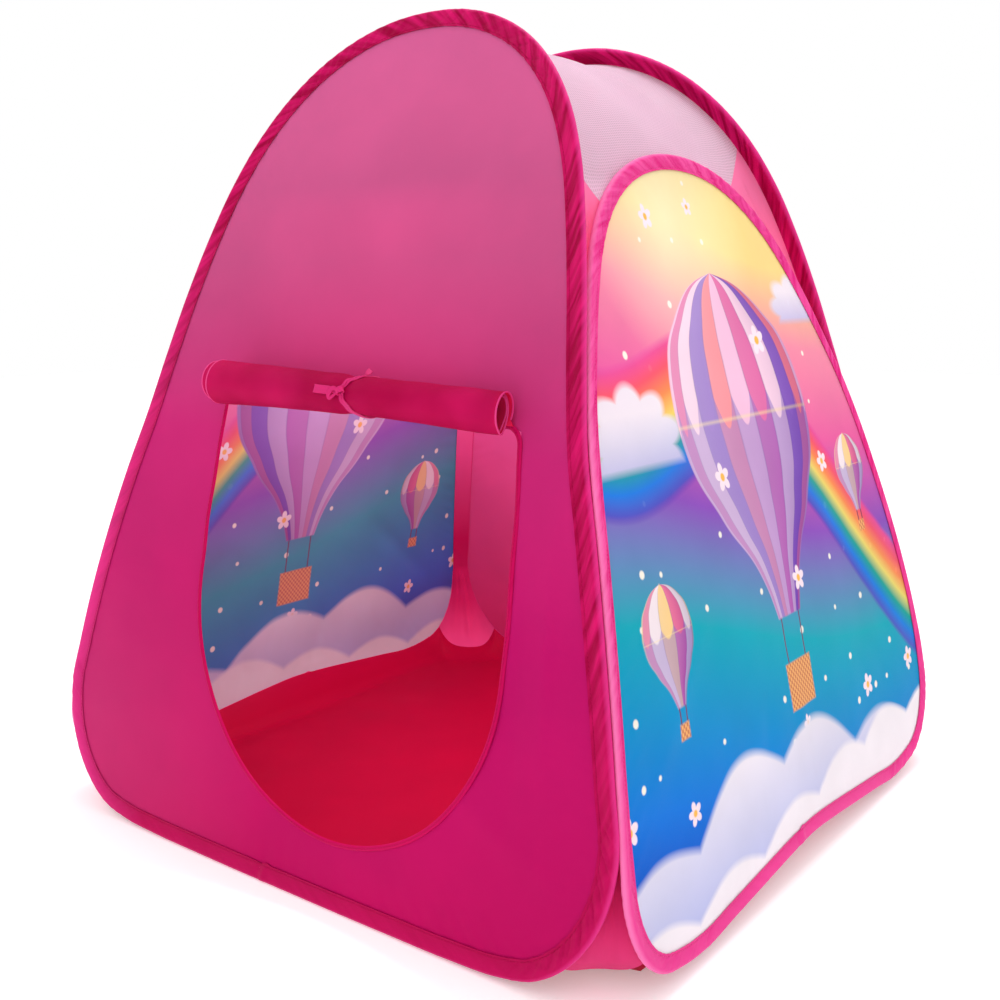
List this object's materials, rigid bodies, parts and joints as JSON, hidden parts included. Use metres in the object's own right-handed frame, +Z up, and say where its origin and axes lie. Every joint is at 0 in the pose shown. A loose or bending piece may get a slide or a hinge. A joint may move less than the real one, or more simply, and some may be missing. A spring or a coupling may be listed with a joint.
{
  "type": "play tent",
  "caption": "Pop-up play tent: sprung wire loops in fabric sleeves hold sloping walls, a mesh roof and a floor; the rounded doorway has a rolled flap.",
  "frame": {"origin": "on the ground under the middle of the tent", "axes": "+Z up, -Y towards the front wall with the doorway, +X towards the right printed wall"},
  "size_m": [0.8168, 0.7806, 0.9],
  "materials": {
    "spring_wire": "sprung round steel wire, satin",
    "ferrule": "crimped tube, satin",
    "end_sleeve": "folded woven polyester, deep pink",
    "side_sleeve": "folded woven polyester, bright pink",
    "end_wall": "thin woven polyester, hot pink, half see-through",
    "printed_wall": "thin woven polyester, printed",
    "mesh": "fine pale pink mesh",
    "gusset": "thin woven polyester, pink",
    "groundsheet": "coated woven polyester, crimson",
    "piping": "narrow folded edging, deep pink",
    "flap": "thin woven polyester, rolled",
    "ribbon": "narrow folded ribbon"
  },
  "bodies": {
    "right": {"right_wire": "spring_wire", "right_ferrule": "ferrule", "right_sleeve": "side_sleeve", "right_panel": "printed_wall", "roof_mesh": "mesh", "floor": "groundsheet", "front_right_top_gusset": "gusset", "front_right_low_gusset": "gusset", "front_left_top_gusset": "gusset", "front_left_low_gusset": "gusset", "back_right_top_gusset": "gusset", "back_right_low_gusset": "gusset", "back_left_top_gusset": "gusset", "back_left_low_gusset": "gusset"},
    "front": {"front_wire": "spring_wire", "front_ferrule": "ferrule", "front_sleeve": "end_sleeve", "front_panel": "end_wall", "door_piping": "piping"},
    "back": {"back_wire": "spring_wire", "back_ferrule": "ferrule", "back_sleeve": "end_sleeve", "back_panel": "end_wall"},
    "left": {"left_wire": "spring_wire", "left_ferrule": "ferrule", "left_sleeve": "side_sleeve", "left_panel": "printed_wall"},
    "flap": {"door_flap": "flap", "flap_tie_band": "ribbon", "flap_tie_knot": "ribbon", "flap_tie_tail_left": "ribbon", "flap_tie_tail_right": "ribbon"}
  },
  "joints": [
    {"name": "back_fold", "type": "hinge", "parent": "right", "child": "back", "pos_m": [0.33777, 0.3206, 0.3069], "axis": [-0.233, -0.2116, 0.9492], "range_deg": [0, 70], "stiffness_Nm_per_rad": 5, "springref_deg": -8.59, "deforming": ["floor", "roof_mesh", "front_right_top_gusset", "front_right_low_gusset", "front_left_top_gusset", "front_left_low_gusset", "back_right_top_gusset", "back_right_low_gusset", "back_left_top_gusset", "back_left_low_gusset"]},
    {"name": "front_fold", "type": "hinge", "parent": "right", "child": "front", "pos_m": [0.35977, -0.3426, 0.3069], "axis": [-0.233, 0.2116, 0.9492], "range_deg": [0, 70]},
    {"name": "left_fold", "type": "hinge", "parent": "back", "child": "left", "pos_m": [-0.35977, 0.3426, 0.3069], "axis": [0.233, -0.2116, 0.9492], "range_deg": [-70, 0]},
    {"name": "flap_drop", "type": "hinge", "parent": "front", "child": "flap", "pos_m": [0.03, -0.29377, 0.48231], "axis": [0.9996, -0.0076, -0.0259], "range_deg": [0, 80]}
  ],
  "couplings": [
    {"joint": "front_fold", "follows": "back_fold", "ratio": 0.98},
    {"joint": "left_fold", "follows": "back_fold", "ratio": -0.98}
  ]
}
